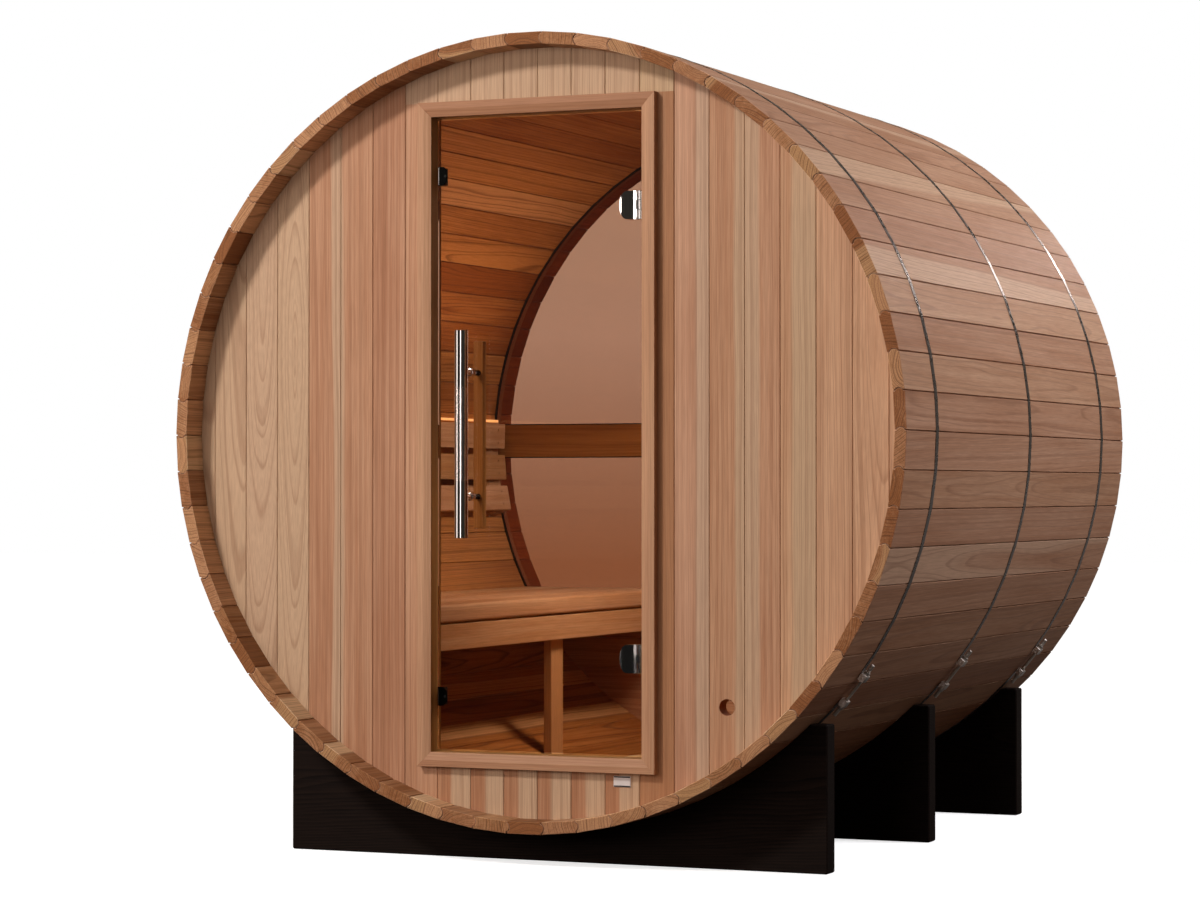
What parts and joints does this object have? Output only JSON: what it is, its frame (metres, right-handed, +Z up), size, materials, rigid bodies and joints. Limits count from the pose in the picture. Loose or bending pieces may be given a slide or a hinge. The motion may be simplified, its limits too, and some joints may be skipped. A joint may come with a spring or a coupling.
{
  "type": "barrel sauna",
  "caption": "Wooden barrel sauna on cradles, with a hinged glass door in a boarded front, a glazed rear wall and an inside bench.",
  "frame": {"origin": "on the ground, midway across the barrel and midway along it", "axes": "+X to the right seen from the front, +Y from the front wall to the rear wall, +Z up"},
  "size_m": [1.8321, 1.83, 1.9059],
  "materials": {
    "staves": "sanded, unfinished, with strong tone changes from stave to stave",
    "wall_boards": "sanded, unfinished, upright grain",
    "frame_wood": "sanded, unfinished",
    "bench_wood": "sanded, unfinished",
    "dark_wood": "oiled",
    "black_stained_wood": "black stained, satin",
    "bronze_glass": "bronze tinted, toughened, polished",
    "polished_steel": "polished",
    "steel_band": "brushed",
    "black_steel": "black, satin",
    "black_plastic": "matt",
    "label": "matt, blank",
    "rubber": "matt",
    "light_diffuser": "milky diffuser"
  },
  "bodies": {
    "sauna": {"staves_1": "staves", "staves_2": "staves", "staves_3": "staves", "staves_4": "staves", "staves_5": "staves", "staves_6": "staves", "staves_7": "staves", "staves_8": "staves", "staves_9": "staves", "staves_10": "staves", "staves_11": "staves", "front_wall_left": "wall_boards", "front_wall_right": "wall_boards", "front_wall_head": "wall_boards", "front_wall_foot": "wall_boards", "door_jamb_left": "frame_wood", "door_jamb_right": "frame_wood", "door_head": "frame_wood", "door_sill": "frame_wood", "jamb_hinge_leaves": "polished_steel", "catch_magnets": "black_plastic", "label_plate": "label", "rear_boards": "wall_boards", "rear_rails": "frame_wood", "rear_glass_lower": "bronze_glass", "rear_glass_upper": "bronze_glass", "rear_seals": "rubber", "rear_glazing_stops": "frame_wood", "seat": "bench_wood", "seat_apron": "bench_wood", "bench_post": "bench_wood", "bench_bearers": "bench_wood", "backrest_slats": "bench_wood", "backrest_battens": "bench_wood", "light_strip": "light_diffuser", "bands": "steel_band", "band_tensioners": "steel_band", "cradle_front": "black_stained_wood", "cradle_middle": "black_stained_wood", "cradle_rear": "black_stained_wood"},
    "door": {"door_glass": "bronze_glass", "handle_outer": "polished_steel", "handle_inner": "dark_wood", "door_hinge_leaves": "polished_steel", "catch_plates": "black_steel"}
  },
  "joints": [
    {"name": "door_hinge", "type": "hinge", "parent": "sauna", "child": "door", "pos_m": [0.254, -0.8355, 0.991], "axis": [0, 0, 1], "range_deg": [0, 100]}
  ]
}
